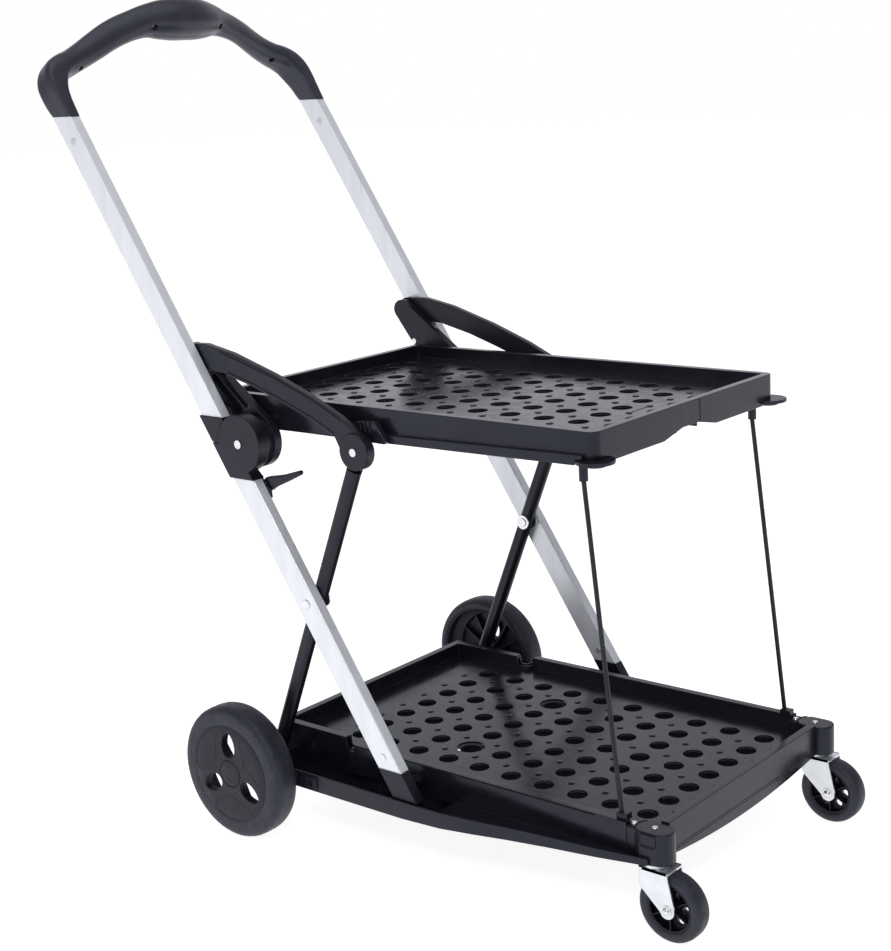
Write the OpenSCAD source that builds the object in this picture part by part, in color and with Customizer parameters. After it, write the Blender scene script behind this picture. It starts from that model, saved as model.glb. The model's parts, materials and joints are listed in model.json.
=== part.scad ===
// Folding platform cart: two perforated decks, a scissor frame, a folding
// handle, two fixed rear wheels and two swivel front wheels.
// X runs forward, Y across, Z up, millimetres, origin on the floor
// under the middle of the bounding box.

/* [Frame] */
// width of the flat tube across the leaning side
tube_w = 31; // [26:1:34]
// thickness of the flat tube
tube_t = 15; // [13:0.5:16]
// wall of the flat tube
tube_wall = 1.5; // [1:0.1:2.5]
// radius of the rounded sides of the oval scissor leg
leg_r = 7; // [5:0.5:7.2]
// height of the black handle end above the floor
grip_from = 896; // [860:1:910]

/* [Decks] */
// half width of the upper deck
up_y = 188; // [184:1:188]
// top of the upper deck's rim
up_top = 554; // [552:1:558]
// depth of the upper deck's floor under the rim
up_depth = 16; // [12:1:18]
// depth of the lower deck's floor under the rim
low_depth = 18; // [14:1:20]
// half width of the lower deck's rear end
low_y = 180; // [176:1:180]
// hole radius in both decks
hole_r = 12; // [6:0.5:13]
// wall and floor thickness of the mouldings
wall = 3; // [2:0.1:4]

/* [Wheels] */
// radius of the rear wheel
rear_r = 86; // [76:0.5:86]
// width of the rear tyre
rear_w = 36; // [30:1:36]
// radius of the front wheel
front_r = 40; // [34:0.5:40]
// width of the front tyre
front_w = 24; // [18:1:24]

/* [Hidden] */
$fn = 64;
ox = -158.3;            // rear axle to the middle of the bounding box
axle_z = 82.5;          // heights are measured from a level this far under the rear axle
floor_z = axle_z - 86;  // the floor
caster_axle_z = floor_z + 40;
gap = 0.3;              // clearance between moving faces
run = 0.05;             // radial running clearance
tube_y0 = 215;          // inner face of the flat tubes
tube_y1 = tube_y0 + tube_t;
foot_x = 233.4;         // tube centre line at foot_z
foot_z = 125.4;
slope = 0.6405;         // rearward run of the tube per unit of rise
half_x = tube_w / 2 / sin(57.36);
hinge = [20.5, 501];    // fold pivot of handle, lower tube and upper deck
apex = [-82, 601];      // arm pivot on the handle
leg_foot = [17, 84];    // lower pivot of the legs
leg_top = [197, 506];   // arm and leg pivot
cross = [114.2, 312];   // scissor pivot
slider = [246.5, 105];  // tube foot roller in the deck's side channel
leg_y = 207;            // middle plane of the oval legs
leg_flat = 2.8;         // half of the flat on an oval leg
plate_y = 191.6;        // inner face of the handle's side plates
leg_dir = leg_top - leg_foot;
leg_len = norm(leg_dir);
leg_lean = atan2(leg_dir[0], leg_dir[1]);
up_x0 = -52;
up_x1 = 516;
up_floor = up_top - up_depth;
low_x1 = 582;
low_top = 125;
low_floor = low_top - low_depth;
low_step = 126;         // the lower rim is wider and lower in front of this
low_wide = low_y + 10;
low_top2 = low_top - 2;
caster_x = 575;
caster_axle_x = 597;
caster_y = 182;
up_cols = 11;
low_cols = 10;
rows = 7;
up_hole_x = -13;
low_hole_x = 94.8;
pitch_x = 48.43;
pitch_y = 43.17;
disc_at = [511.5, 181.3];
post_top = 121;
tab_z0 = 98;
rivet_x = [546.5, 573.5];
rivet_y = 180;
socket_at = [492, 176];
anchor_at = [530.6, 180.7];
cord_z0 = 130;
cord_r = 2.7;

// ---- helpers ----

// extrude an x-z outline across the cart between two distances from the middle
module side(s, y0, y1)
  translate([0, max(s * y0, s * y1), 0]) rotate([90, 0, 0]) linear_extrude(abs(y1 - y0)) children();

module pin(s, p, r, y0, y1) side(s, y0, y1) translate(p) circle(r);

// rounded rectangle
module rrect(x0, x1, y0, y1, r) {
  translate([x0 + r, y0]) square([x1 - x0 - 2 * r, y1 - y0]);
  translate([x0, y0 + r]) square([x1 - x0, y1 - y0 - 2 * r]);
  for (x = [x0 + r, x1 - r], y = [y0 + r, y1 - r]) translate([x, y]) circle(r);
}

// slanted tube outline between two heights, grown by g
function tx(z) = foot_x - (z - foot_z) * slope;
module slant(z0, z1, g = 0) {
  h = half_x + g / sin(57.36);
  polygon([[tx(z0) - h, z0], [tx(z0) + h, z0], [tx(z1) + h, z1], [tx(z1) - h, z1]]);
}

// two discs joined by their common tangents
module link(p, rp, q, rq) {
  d = q - p;
  a = atan2(d[1], d[0]);
  b = acos((rp - rq) / norm(d));
  translate(p) circle(rp);
  translate(q) circle(rq);
  polygon([p + rp * [cos(a + b), sin(a + b)], q + rq * [cos(a + b), sin(a + b)],
    q + rq * [cos(a - b), sin(a - b)], p + rp * [cos(a - b), sin(a - b)]]);
}

module deck_holes(x0, cols, r) {
  for (i = [0:cols - 1], j = [0:rows - 1])
    translate([x0 + i * pitch_x, (j - (rows - 1) / 2) * pitch_y]) circle(r, $fn = 40);
}

// ---- lower deck and what is fixed to it ----

// plan outline of the side channel on one side, inset by e
module channel_plan(s, e = 0) {
  polygon([[24 + e, s * (low_y - 1)], [24 + e, s * (234 - e)], [310, s * (234 - e)],
    [355, s * (228 - e)], [400, s * (220.5 - e)], [456, s * (213.5 - e)],
    [513, s * (208 - e)], [575 - e, s * (199 - e)], [575 - e, s * (low_y - 1)]]);
}

module post_plan(s, g = 0)
  rrect(551 - g, 597 + g, s > 0 ? 165 - g : -196 - g, s > 0 ? 196 + g : -165 + g, 15);

// tab behind the post, under the inner rivet
module tab_plan(s, g = 0)
  rrect(541.5 - g, 562 + g, s > 0 ? 170 - g : -191 - g, s > 0 ? 191 + g : -170 + g, 4);

// plan of the lower tray, inset by e: narrower behind the step
module low_plan(e) {
  rrect(e, low_step + 20, -low_y + e, low_y - e, 5);
  rrect(low_step + e, low_x1 - e, -low_wide + e, low_wide - e, 5);
}

module lower_deck() {
  wells = [for (s = [-1, 1]) [low_hole_x + 3 * pitch_x, s * 2 * pitch_y]];
  color("#34363d") difference() {
    union() {
      // floor with its two larger wells
      translate([0, 0, low_floor - wall]) linear_extrude(wall) difference() {
        low_plan(0);
        deck_holes(low_hole_x, low_cols, hole_r);
        for (q = wells) translate(q) circle(hole_r + 5.5);
      }
      // outer wall, inner wall and the flange that joins them
      translate([0, 0, 84]) linear_extrude(low_top - 84) difference() {
        low_plan(0);
        low_plan(wall);
      }
      translate([0, 0, low_floor - 1]) linear_extrude(low_top - low_floor + 1) difference() {
        low_plan(8);
        low_plan(10.5);
      }
      translate([0, 0, low_top - wall - 2]) linear_extrude(wall + 2) difference() {
        low_plan(0);
        low_plan(10.5);
      }
      // side channels
      for (s = [-1, 1]) {
        translate([0, 0, 70]) linear_extrude(22) difference() {
          channel_plan(s);
          channel_plan(s, wall);
        }
        translate([0, 0, 70]) linear_extrude(wall) intersection() {
          channel_plan(s);
          translate([0, -300]) square([300, 600]);
        }
        translate([0, 0, 83]) linear_extrude(wall) intersection() {
          channel_plan(s);
          translate([297, -300]) square([300, 600]);
        }
        side(s, low_y - wall, low_y) polygon([[0, 70], [300, 70], [560, 83], [560, 90], [0, 90]]);
      }
      // rear axle beam
      translate([-13, -low_y, 68]) cube([30, 2 * low_y, 28]);
      translate([0, -low_y, 90]) cube([wall, 2 * low_y, low_top - 90]);
      for (s = [-1, 1]) side(s, 218, 231) difference() {
        link([0, axle_z], 13, [26, 82], 10);
        circle(1);
      }
      // bowed front apron
      translate([low_x1 - wall, 0, 0]) rotate([90, 0, 90]) linear_extrude(wall)
        polygon([for (y = [-156:12:156]) [y, 73.5 + 10 * pow(y / 156, 2)], [156, 90], [-156, 90]]);
      // stiffening ribs under the floor
      for (j = [-3:2]) translate([wall, (j + 0.5) * pitch_y - 1.25, 88]) cube([low_x1 - 2 * wall, 2.5, 18]);
      for (i = [-1:2:low_cols - 1]) translate([low_hole_x + (i + 0.5) * pitch_x - 1.25, -low_y + wall, 88])
        cube([2.5, 2 * low_y - 2 * wall, 18]);
    }
    // rising underside of the rails
    for (s = [-1, 1]) side(s, low_y - 10, 240) polygon([[250, 60], [250, 70], [575, 84], [620, 84], [620, 60]]);
    // the front part of the rim is lower, with a gap at the step on each side
    translate([low_step, -300, low_top2]) cube([600, 600, 20]);
    for (s = [-1, 1]) side(s, low_y - 11, low_wide + 1) polygon([[115, 130], [117, 113], [137, 113], [138, 130]]);
    // slots for the legs in the channels' rear walls
    for (s = [-1, 1]) side(s, 198.5, 215.3) polygon([[16, 73.5], [60, 73.5], [60, 100], [16, 100]]);
    // axle bore
    pin(1, [0, axle_z], 6.05, -240, 240);
    // leg foot pin bores
    for (s = [-1, 1]) pin(s, leg_foot, 4.05, 170, 240);
    // seats of the front corner posts
    for (s = [-1, 1]) translate([0, 0, 60]) linear_extrude(80) post_plan(s, 0.05);
    for (s = [-1, 1]) translate([0, 0, tab_z0 - 0.05]) linear_extrude(80) tab_plan(s, 0.05);
  }
}

module corner_post(s) {
  color("#2c2e34") difference() {
    union() {
      translate([0, 0, 84]) linear_extrude(post_top - 84) post_plan(s);
      translate([0, 0, tab_z0]) linear_extrude(post_top - 1 - tab_z0) tab_plan(s);
    }
    // shallow window in the outer side
    side(s, 194, 198) rrect(562, 583, 104, 118, 3);
    // hollow underneath around the stem
    translate([caster_x, s * caster_y, 83]) cylinder(r = 8.05, h = 27);
    translate([0, 0, 83]) linear_extrude(12) difference() {
      rrect(555, 593, s > 0 ? 169 : -192, s > 0 ? 192 : -169, 11);
      translate([caster_x, s * caster_y]) circle(12);
    }
    for (x = rivet_x) translate([x, s * rivet_y, 112]) cylinder(r = 2.55, h = 40);
  }
}

module corner_rivets() {
  color("#d5d8de") for (s = [-1, 1], i = [0, 1]) translate([rivet_x[i], s * rivet_y, post_top - 1 + i]) {
    translate([0, 0, 112.05 - post_top + 1 - i]) cylinder(r = 2.5, h = post_top - 113.05 + i);
    cylinder(r1 = 4, r2 = 3, h = 1.4);
  }
}

module side_clips() {
  color("#25272c") for (s = [-1, 1]) side(s, 234, 235.5) difference() {
    rrect(96, 114, 73, 89, 2);
    rrect(100, 106, 77, 85, 1);
  }
}

module rear_axle() {
  color("#b9bcc4") pin(1, [0, axle_z], 6, -268, 268);
}

module leg_foot_pins() {
  color("#c9ccd2") for (s = [-1, 1]) {
    pin(s, leg_foot, 4, 172, 229);
    pin(s, leg_foot, 6.5, 215.5, 217.8);
  }
}

module cord_anchors() {
  color("#2a2c31") for (s = [-1, 1]) translate([anchor_at[0], s * anchor_at[1], 0])
    translate([-3.6, -5.5, low_top2]) cube([14, 11, cord_z0 - low_top2]);
}

module caster_bearings() {
  color("#c4c7cd") for (s = [-1, 1]) translate([caster_x, s * caster_y, 0]) {
    translate([0, 0, 80]) cylinder(r = 14.5, h = 3.9);
    translate([0, 0, 83.9]) cylinder(r = 8, h = 26);
  }
}

// ---- wheels ----

module wheel_turn(s, x, y, z) translate([x, s * y, z]) rotate([s > 0 ? -90 : 90, 0, 0]) children();

module rear_rim(s) {
  color("#3a3d44") wheel_turn(s, 0, 236, axle_z) difference() {
    union() {
      // outer dished face with three finger holes
      translate([0, 0, 26]) linear_extrude(5) difference() {
        circle(63.9);
        for (a = [90, 210, 330]) rotate(s > 0 ? -a : a) translate([42, 0]) circle(11.5);
      }
      // barrel
      translate([0, 0, 3]) linear_extrude(28) difference() {
        circle(63.9);
        circle(59);
      }
      // hub
      cylinder(r = 17, h = 34);
      // inner ribs
      for (a = [0:30:330]) rotate(a) translate([16, -1.25, 6]) cube([44, 2.5, 21]);
    }
    for (a = [90, 210, 330]) rotate(s > 0 ? -a : a) translate([42, 0, -1]) cylinder(r = 11.5, h = 40);
    translate([0, 0, -1]) cylinder(r = 6.05, h = 36);
    translate([0, 0, 31.9]) cylinder(r = 13.05, h = 3);
  }
}

module rear_tyre(s) {
  color("#1f2126") wheel_turn(s, 0, 237, axle_z) difference() {
    union() {
      translate([0, 0, 4]) cylinder(r = rear_r, h = rear_w - 8);
      cylinder(r1 = rear_r - 5, r2 = rear_r, h = 4);
      translate([0, 0, rear_w - 4]) cylinder(r1 = rear_r, r2 = rear_r - 5, h = 4);
    }
    translate([0, 0, -1]) cylinder(r = 64, h = rear_w + 2);
  }
}

module rear_cap(s) {
  color("#2d3037") wheel_turn(s, 0, 236, axle_z) {
    translate([0, 0, 33]) cylinder(r = 13, h = 3);
    translate([0, 0, 36]) cylinder(r1 = 13, r2 = 10, h = 3);
  }
}

module caster_fork(s) {
  color("#cdd0d6") translate([0, s * caster_y, 0]) {
    difference() {
      union() {
        translate([caster_x, 0, 77.4]) cylinder(r = 14.5, h = 2.3);
        translate([caster_x - 16.5, -15.5, 77]) cube([39, 31, 2.6]);
        translate([caster_x - 16.5, -15.5, 66]) cube([2, 31, 12]);
        for (t = [-1, 1]) side(t, 13.5, 15.5) {
          polygon([[caster_x - 16.5, 79.6], [caster_x + 22.5, 79.6], [caster_axle_x + 9, 40],
            [caster_axle_x - 8.5, 33.5], [caster_x - 11, 56], [caster_x - 16.5, 64]]);
          translate([caster_axle_x, caster_axle_z]) circle(9);
        }
      }
      pin(1, [caster_axle_x, caster_axle_z], 3.05, -20, 20);
    }
  }
}

module caster_axle(s) {
  color("#aeb2ba") translate([0, s * caster_y, 0]) {
    pin(1, [caster_axle_x, caster_axle_z], 3, -17.5, 17.5);
    for (t = [-1, 1]) side(t, 15.6, 19) translate([caster_axle_x, caster_axle_z]) circle(5.5, $fn = 6);
  }
}

module caster_hub(s) {
  color("#1d1f23") wheel_turn(s, caster_axle_x, caster_y - front_w / 2, caster_axle_z) difference() {
    union() {
      translate([0, 0, front_w / 2 - 3]) linear_extrude(6) difference() {
        circle(27.9);
        for (a = [0:60:300]) rotate(a) translate([17.5, 0]) circle(4.5);
      }
      translate([0, 0, 2]) linear_extrude(front_w - 4) difference() {
        circle(27.9);
        circle(25);
      }
      cylinder(r = 8, h = front_w);
      for (a = [30:60:330]) rotate(a) translate([7, -1, 3]) cube([19, 2, front_w - 6]);
    }
    translate([0, 0, -1]) cylinder(r = 3.05, h = front_w + 2);
  }
}

module caster_tyre(s) {
  color("#26282d") wheel_turn(s, caster_axle_x, caster_y - front_w / 2, caster_axle_z) difference() {
    union() {
      translate([0, 0, 4]) cylinder(r = front_r, h = front_w - 8);
      cylinder(r1 = front_r - 4, r2 = front_r, h = 4);
      translate([0, 0, front_w - 4]) cylinder(r1 = front_r, r2 = front_r - 4, h = 4);
    }
    translate([0, 0, -1]) cylinder(r = 28, h = front_w + 2);
  }
}

// ---- scissor legs ----

module leg(s) {
  color("#26282d") difference() {
    union() {
      translate([leg_foot[0], s * leg_y, leg_foot[1]]) rotate([0, leg_lean, 0])
        translate([0, 0, 13]) linear_extrude(leg_len - 13 - 26) {
          square([2 * leg_flat, 2 * leg_r], center = true);
          for (t = [-1, 1]) translate([t * leg_flat, 0]) circle(leg_r);
        }
      side(s, 204.5, 209.5) link(leg_foot, 8, leg_foot + leg_dir * 24 / leg_len, 6.5);
      side(s, 200.2, 204.4) link(leg_top, 9, leg_top - leg_dir * 36 / leg_len, 6.5);
    }
    pin(s, cross, 4.05, 190, 225);
    pin(s, leg_foot, 4.05, 190, 225);
    pin(s, leg_top, 4.05, 190, 225);
  }
}

module cross_rivets() {
  color("#d2d5db") for (s = [-1, 1]) {
    pin(s, cross, 4, 197, 230.4);
    pin(s, cross, 6, 230.2, 231.6);
    pin(s, cross, 6, 196.8, 198);
  }
}

module cross_washers() {
  color("#c6c9cf") for (s = [-1, 1]) side(s, 198.2, 199.9) difference() {
    translate(cross) circle(10);
    translate(cross) circle(4.05);
  }
  color("#202226") for (s = [-1, 1]) side(s, 214.1, 214.8) difference() {
    translate(cross) circle(12);
    translate(cross) circle(4.05);
  }
}

module leg_rollers() {
  color("#25272c") for (s = [-1, 1]) side(s, 191, 199.4) difference() {
    translate(leg_top) circle(6);
    translate(leg_top) circle(4.05);
  }
}

// ---- lower tubes ----

module lower_tube(s) {
  color("#d9dce2") difference() {
    side(s, tube_y0, tube_y1) slant(foot_z, 470);
    side(s, tube_y0 + tube_wall, tube_y1 - tube_wall) slant(foot_z - 1, 471, -tube_wall);
    pin(s, cross, 4.05, tube_y0 - 1, tube_y1 + 1);
    pin(s, [tx(140), 140], 2.55, tube_y0 - 1, tube_y1 + 1);
  }
}

module hinge_collar(s) {
  color("#33353b") difference() {
    union() {
      side(s, tube_y0 + 0.2, 233) {
        translate(hinge) circle(36);
        slant(457.5, 500, 1.5);
      }
      side(s, 212.8, 216) slant(457.5, 461, 1.5);
    }
    side(s, tube_y0 - 0.05, tube_y1 + 0.05) slant(450, 470.05, 0.05);
    pin(s, hinge, 4.05, 200, 240);
    // the handle's knuckle turns past this corner
    side(s, 210, 240) difference() {
      translate([-60, 499]) square([50, 30]);
      translate(hinge) circle(36);
    }
  }
}

module tube_boot(s) {
  color("#2f3137") difference() {
    union() {
      side(s, tube_y0, tube_y1) slant(92, foot_z - 0.05);
      side(s, tube_y0 + tube_wall + 0.05, tube_y1 - tube_wall - 0.05) slant(110, 150, -tube_wall - 0.05);
    }
    pin(s, slider, 4.05, tube_y0 - 1, tube_y1 - 4);
    pin(s, [tx(140), 140], 2.55, tube_y0 - 1, tube_y1 + 1);
  }
}

module boot_screws() {
  color("#c9ccd2") for (s = [-1, 1]) {
    pin(s, [tx(140), 140], 2.5, tube_y0, tube_y1 + 0.2);
    pin(s, [tx(140), 140], 4.5, tube_y1 + 0.1, tube_y1 + 1.2);
    pin(s, [tx(140), 140], 4.5, tube_y0 - 1.2, tube_y0 - 0.1);
  }
}

module boot_rollers() {
  color("#25272c") for (s = [-1, 1]) {
    pin(s, slider, 4, 191, tube_y1 - 4.1);
    pin(s, slider, 7, 191, 199.4);
  }
}

module hinge_pins() {
  color("#d2d5db") for (s = [-1, 1]) {
    pin(s, hinge, 4, 187.6, 233.2);
    pin(s, hinge, 5.5, 233, 234.6);
  }
}

module release_lever() {
  color("#24262b") difference() {
    side(-1, 204.3, 212) {
      translate([44, 452]) circle(6.5);
      polygon([[41, 458], [99, 472], [101, 467], [70, 457], [50, 447]]);
      polygon([[38, 455], [36.5, 463], [41, 462], [49, 448]]);
    }
    pin(-1, [44, 452], 2.05, 190, 220);
  }
}

module lever_pin() {
  color("#b9bcc4") pin(-1, [44, 452], 2, 204.1, 214.9);
  color("#24262b") difference() {
    side(-1, 212.3, 214.9) polygon([[tx(457) + 10, 457], [tx(457) + 17, 457], [52, 444],
      [tx(434) + 17, 434], [tx(434) + 8, 434]]);
    pin(-1, [44, 452], 2.02, 210, 220);
  }
}

// ---- handle ----

module upper_tube(s) {
  color("#d9dce2") difference() {
    side(s, tube_y0, tube_y1) slant(520, grip_from + 30);
    side(s, tube_y0 + tube_wall, tube_y1 - tube_wall) slant(519, grip_from + 31, -tube_wall);
    // cleared for the fold disc
    pin(s, hinge, 37, 210, 240);
    pin(s, [tx(865), 865], 2.55, 200, 240);
  }
}

module hinge_plate(s) {
  color("#2f3137") difference() {
    union() {
      // collar behind the disc
      side(s, 212.8, 232.4) slant(499.5, 531, 1.5);
      // inner plate up to the arm pivot
      side(s, plate_y, 203.9) link(hinge, 34, apex, 13.5);
      side(s, 203.8, 214.7) translate(hinge) circle(30);
      side(s, 203.8, 214.7) intersection() {
        link(hinge, 34, apex, 13.5);
        slant(499.5, 541, 3);
      }
    }
    // fold disc of the lower collar
    pin(s, hinge, 36.6, 214.8, 240);
    side(s, tube_y0 - 0.05, tube_y1 + 0.05) slant(519.9, 545, 0.05);
    pin(s, hinge, 4.05, 190, 240);
    pin(s, [-60, 557], 2.05, 190, 210);
    // long grooves in the outer side of the plate
    side(s, 196, 205) link([-4, 537], 4.5, [-44, 574], 4.5);
    side(s, 199, 205) link([8, 543], 3, [-34, 580], 3);
  }
}

module plate_screws() {
  color("#d2d5db") for (s = [-1, 1]) {
    pin(s, [-60, 557], 2, plate_y - 0.1, 203.8);
    pin(s, [-60, 557], 4, plate_y - 1.2, plate_y - 0.05);
    // arm pivot stub
    pin(s, apex, 5, 203.95, 204.2);
  }
}

module tube_rivets() {
  color("#c2c5cb") for (s = [-1, 1]) {
    pin(s, [tx(865), 865], 2.5, tube_y0, tube_y1);
    pin(s, [tx(865), 865], 4.5, tube_y0 - 1, tube_y0);
    pin(s, [tx(865), 865], 4.5, tube_y1, tube_y1 + 0.8);
  }
}

// half outline of the grip seen square to the tubes: across, and along the tube from
// the fold pivot; e insets it
function grip_half(e) = [
  [230.9 - e, 460], [232 - e, 500], [233.5 - e, 519], [231 - e, 540], [221 - e, 557 - e / 2],
  [204 - e / 2, 568 - e], [166, 583 - e], [126, 600 - e], [104, 607 - e], [83, 611 - e],
  [61, 615 - e], [40, 617.5 - e], [0, 618.5 - e]];
function grip_inner(e) = [
  [0, 564 + e], [40, 567 + e], [60, 572 + e], [95, 569 + e], [114, 564 + e],
  [154, 551 + e], [190, 539 + e], [199 + e, 532], [204.5 + e, 526], [209.5 + e, 517],
  [212.9 + e, 500], [214.2 + e, 460]];
function flip(p) = [for (i = [len(p) - 1:-1:0]) [-p[i][0], p[i][1]]];

module grip_outline(e) {
  o = grip_half(e);
  n = grip_inner(e);
  polygon(concat(o, flip(o), [for (i = [len(n) - 1:-1:0]) [-n[i][0], n[i][1]]], n));
}

// the grip seen from the side: the bow bends forward out of the tubes' plane, and
// the parting line runs up its middle
grip_line = [[-23, 460], [-23, 548], [-13, 567], [9, 588], [27, 600], [52, 606]];
function grip_fore(e) = [[48 - e, 609 - e], [52 - e, 606 - e], [54 - e, 590], [50 - e, 572 + e],
  [40, 564 + e], [26, 563 + e], [16 - e, 560 + e], [8 - e, 553 + e], [-1 - e, 543], [-6.7 - e, 532],
  [-6.7 - e, 460]];
function grip_aft(e) = [[52 - e, 606.1 - e], [40, 616 - e], [27, 618.5 - e], [10, 616 - e],
  [-8, 606 - e], [-20 + e, 594 - e], [-31 + e, 579], [-37 + e, 566], [-39.3 + e, 550], [-39.3 + e, 460]];

module handle_place() translate([hinge[0], 0, hinge[1]]) rotate([0, -32.64, 0]) children();

// lay a grip outline square to the tubes, from a to b in front of their plane
module in_handle(a, b)
  handle_place() translate([b, 0, 0]) rotate([90, 0, -90]) linear_extrude(b - a) children();

// and a side view across the cart
module across_handle(w) handle_place() translate([0, w, 0]) rotate([90, 0, 0]) linear_extrude(2 * w) children();

module grip_cut() {
  // open under the grip ends at a level height
  translate([-500, -300, 700]) cube([900, 600, grip_from - 700 + 0.05]);
  // tube sockets
  for (s = [-1, 1]) side(s, tube_y0 - 0.05, tube_y1 + 0.05) slant(880, grip_from + 30.2, 0.05);
}

// across, along, and how far in front of the pivot each grip screw's head sits
grip_screw_at = [[58, 580, 44], [-58, 580, 44], [172, 553, -6], [-172, 553, -6]];

module grip_front() {
  color("#2b2d33") difference() {
    intersection() {
      in_handle(-60, 80) grip_outline(0);
      across_handle(240) polygon(concat(grip_line, grip_fore(0)));
    }
    intersection() {
      in_handle(-60, 80) grip_outline(3.5);
      across_handle(190) polygon(concat([[-24, 490], [-24, 548], [-14, 568], [8, 589], [24, 600]], grip_fore(3.5)));
    }
    for (q = grip_screw_at) in_handle(q[2] - 14, q[2] + 30) translate([q[0], q[1]]) circle(4.05);
    grip_cut();
  }
}

module grip_back() {
  color("#2b2d33") difference() {
    intersection() {
      in_handle(-60, 80) grip_outline(0);
      across_handle(240) polygon(concat([for (q = grip_line) q + [-0.05, 0.05]], grip_aft(0)));
    }
    intersection() {
      in_handle(-60, 80) grip_outline(3.5);
      across_handle(190) polygon(concat([[-22, 490], [-22, 548], [-12, 566], [10, 587], [27, 599]], grip_aft(3.5)));
    }
    grip_cut();
  }
}

module grip_screws() {
  color("#b9bcc4") for (q = grip_screw_at) in_handle(q[2] - 6, q[2]) translate([q[0], q[1]]) circle(4);
}

// ---- arms ----

module arm(s) {
  color("#303238") difference() {
    union() {
      side(s, 204.4, 213.4) {
        translate(apex) circle(15);
        translate(leg_top) circle(22);
        polygon([apex + [2, 15], [-46, 617], [0, 608], [70, 587], [130, 565], [174, 545], [206, 526],
          leg_top + [-20, -9], [164, 521], [130, 537], [80, 555], [30, 571], [-20, 583], apex + [0, -15]]);
      }
      side(s, 204.8, 218) translate(leg_top) circle(22);
      // raised edges
      side(s, 213, 214.7) polygon([[-20, 609], [70, 584], [130, 563], [174, 543], [174, 539], [130, 559],
        [70, 580], [-20, 605]]);
      side(s, 213, 214.7) polygon([[-10, 585], [30, 575], [80, 559], [130, 541], [164, 525], [164, 521],
        [130, 537], [80, 555], [30, 571], [-10, 581]]);
    }
    pin(s, leg_top, 4.05, 200, 220);
  }
}

module arm_rivets() {
  color("#d2d5db") for (s = [-1, 1]) {
    pin(s, leg_top, 4, 190.8, 218.2);
    pin(s, leg_top, 5, 218.1, 219.4);
  }
}

// ---- upper deck ----

// plan of the upper tray, inset by e
module up_plan(e) rrect(up_x0 + e, up_x1 - e, -up_y + e, up_y - e, max(12 - e, 4));

module upper_deck() {
  color("#3b3d44") difference() {
    union() {
      translate([0, 0, up_floor - wall]) linear_extrude(wall) difference() {
        up_plan(0);
        deck_holes(up_hole_x, up_cols, hole_r);
      }
      // outer wall, deeper towards the rear
      difference() {
        translate([0, 0, 511.5]) linear_extrude(up_top - 511.5) difference() {
          up_plan(0);
          up_plan(wall);
        }
        side(1, -200, 200) polygon([[up_x0 - 1, 505], [up_x0 - 1, 511.5], [up_x1 + 1, 518], [up_x1 + 1, 505]]);
      }
      // inner wall and the flange
      translate([0, 0, up_floor - 1]) linear_extrude(up_top - up_floor + 1) difference() {
        up_plan(8);
        up_plan(10.5);
      }
      translate([0, 0, up_top - wall]) linear_extrude(wall) difference() {
        up_plan(0);
        up_plan(10.5);
      }
      // slide rails for the leg rollers
      for (s = [-1, 1]) side(s, up_y - 0.5, up_y + 6)
        polygon([[150, 534], [180, 534], [205, 524], [503, 529.5], [503, 518], [150, 514]]);
      // hinge lugs
      for (s = [-1, 1]) side(s, up_y - 2.5, up_y + 3) {
        translate(hinge) circle(13);
        polygon([hinge + [-13, 0], hinge + [13, 0], [44, 530], [-3, 530]]);
      }
      for (j = [-3:2]) translate([up_x0 + wall, (j + 0.5) * pitch_y - 1.25, 520])
        cube([up_x1 - up_x0 - 2 * wall, 2.5, 15]);
      for (i = [0:2:up_cols - 2]) translate([up_hole_x + (i + 0.5) * pitch_x - 1.25, -up_y + wall, 520])
        cube([2.5, 2 * up_y - 2 * wall, 15]);
    }
    for (s = [-1, 1]) pin(s, hinge, 4.05, 180, 200);
    // raised middle of the front wall's lower edge, and its shallow panel
    translate([up_x1 - 6, 0, 0]) rotate([90, 0, 90]) linear_extrude(12)
      polygon([[-64, 500], [-64, 516], [-18, 526], [18, 526], [64, 516], [64, 500]]);
    translate([up_x1 - 0.8, -19, 500]) cube([2, 39, up_top - 501.5]);
    // seats of the corner discs
    for (s = [-1, 1]) corner_disc(s, 0.05, 505, 524.05);
  }
}

module corner_disc(s, g, z0, z1) translate([0, 0, z0]) linear_extrude(z1 - z0) {
  translate([disc_at[0], s * disc_at[1]]) circle(21.8 + g);
  translate([socket_at[0], s * socket_at[1]]) circle(8 + g);
}

module corner_discs() {
  color("#2b2d33") for (s = [-1, 1]) {
    corner_disc(s, 0, 520, 524);
    translate([disc_at[0], s * disc_at[1], 516.5]) cylinder(r = 12, h = 3.6);
  }
}

module cord_sockets() {
  color("#26282d") for (s = [-1, 1]) translate([socket_at[0], s * socket_at[1], 497]) cylinder(r = 5, h = 22.95);
}

module cord(s) {
  a = [anchor_at[0], s * anchor_at[1], cord_z0 + 0.12];
  b = [socket_at[0], s * socket_at[1], 496.6];
  d = b - a;
  color("#1c1d20") translate(a) rotate([0, acos(d[2] / norm(d)), atan2(d[1], d[0])])
    cylinder(r = cord_r, h = norm(d), $fn = 32);
}

// ---- nodes ----

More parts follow.
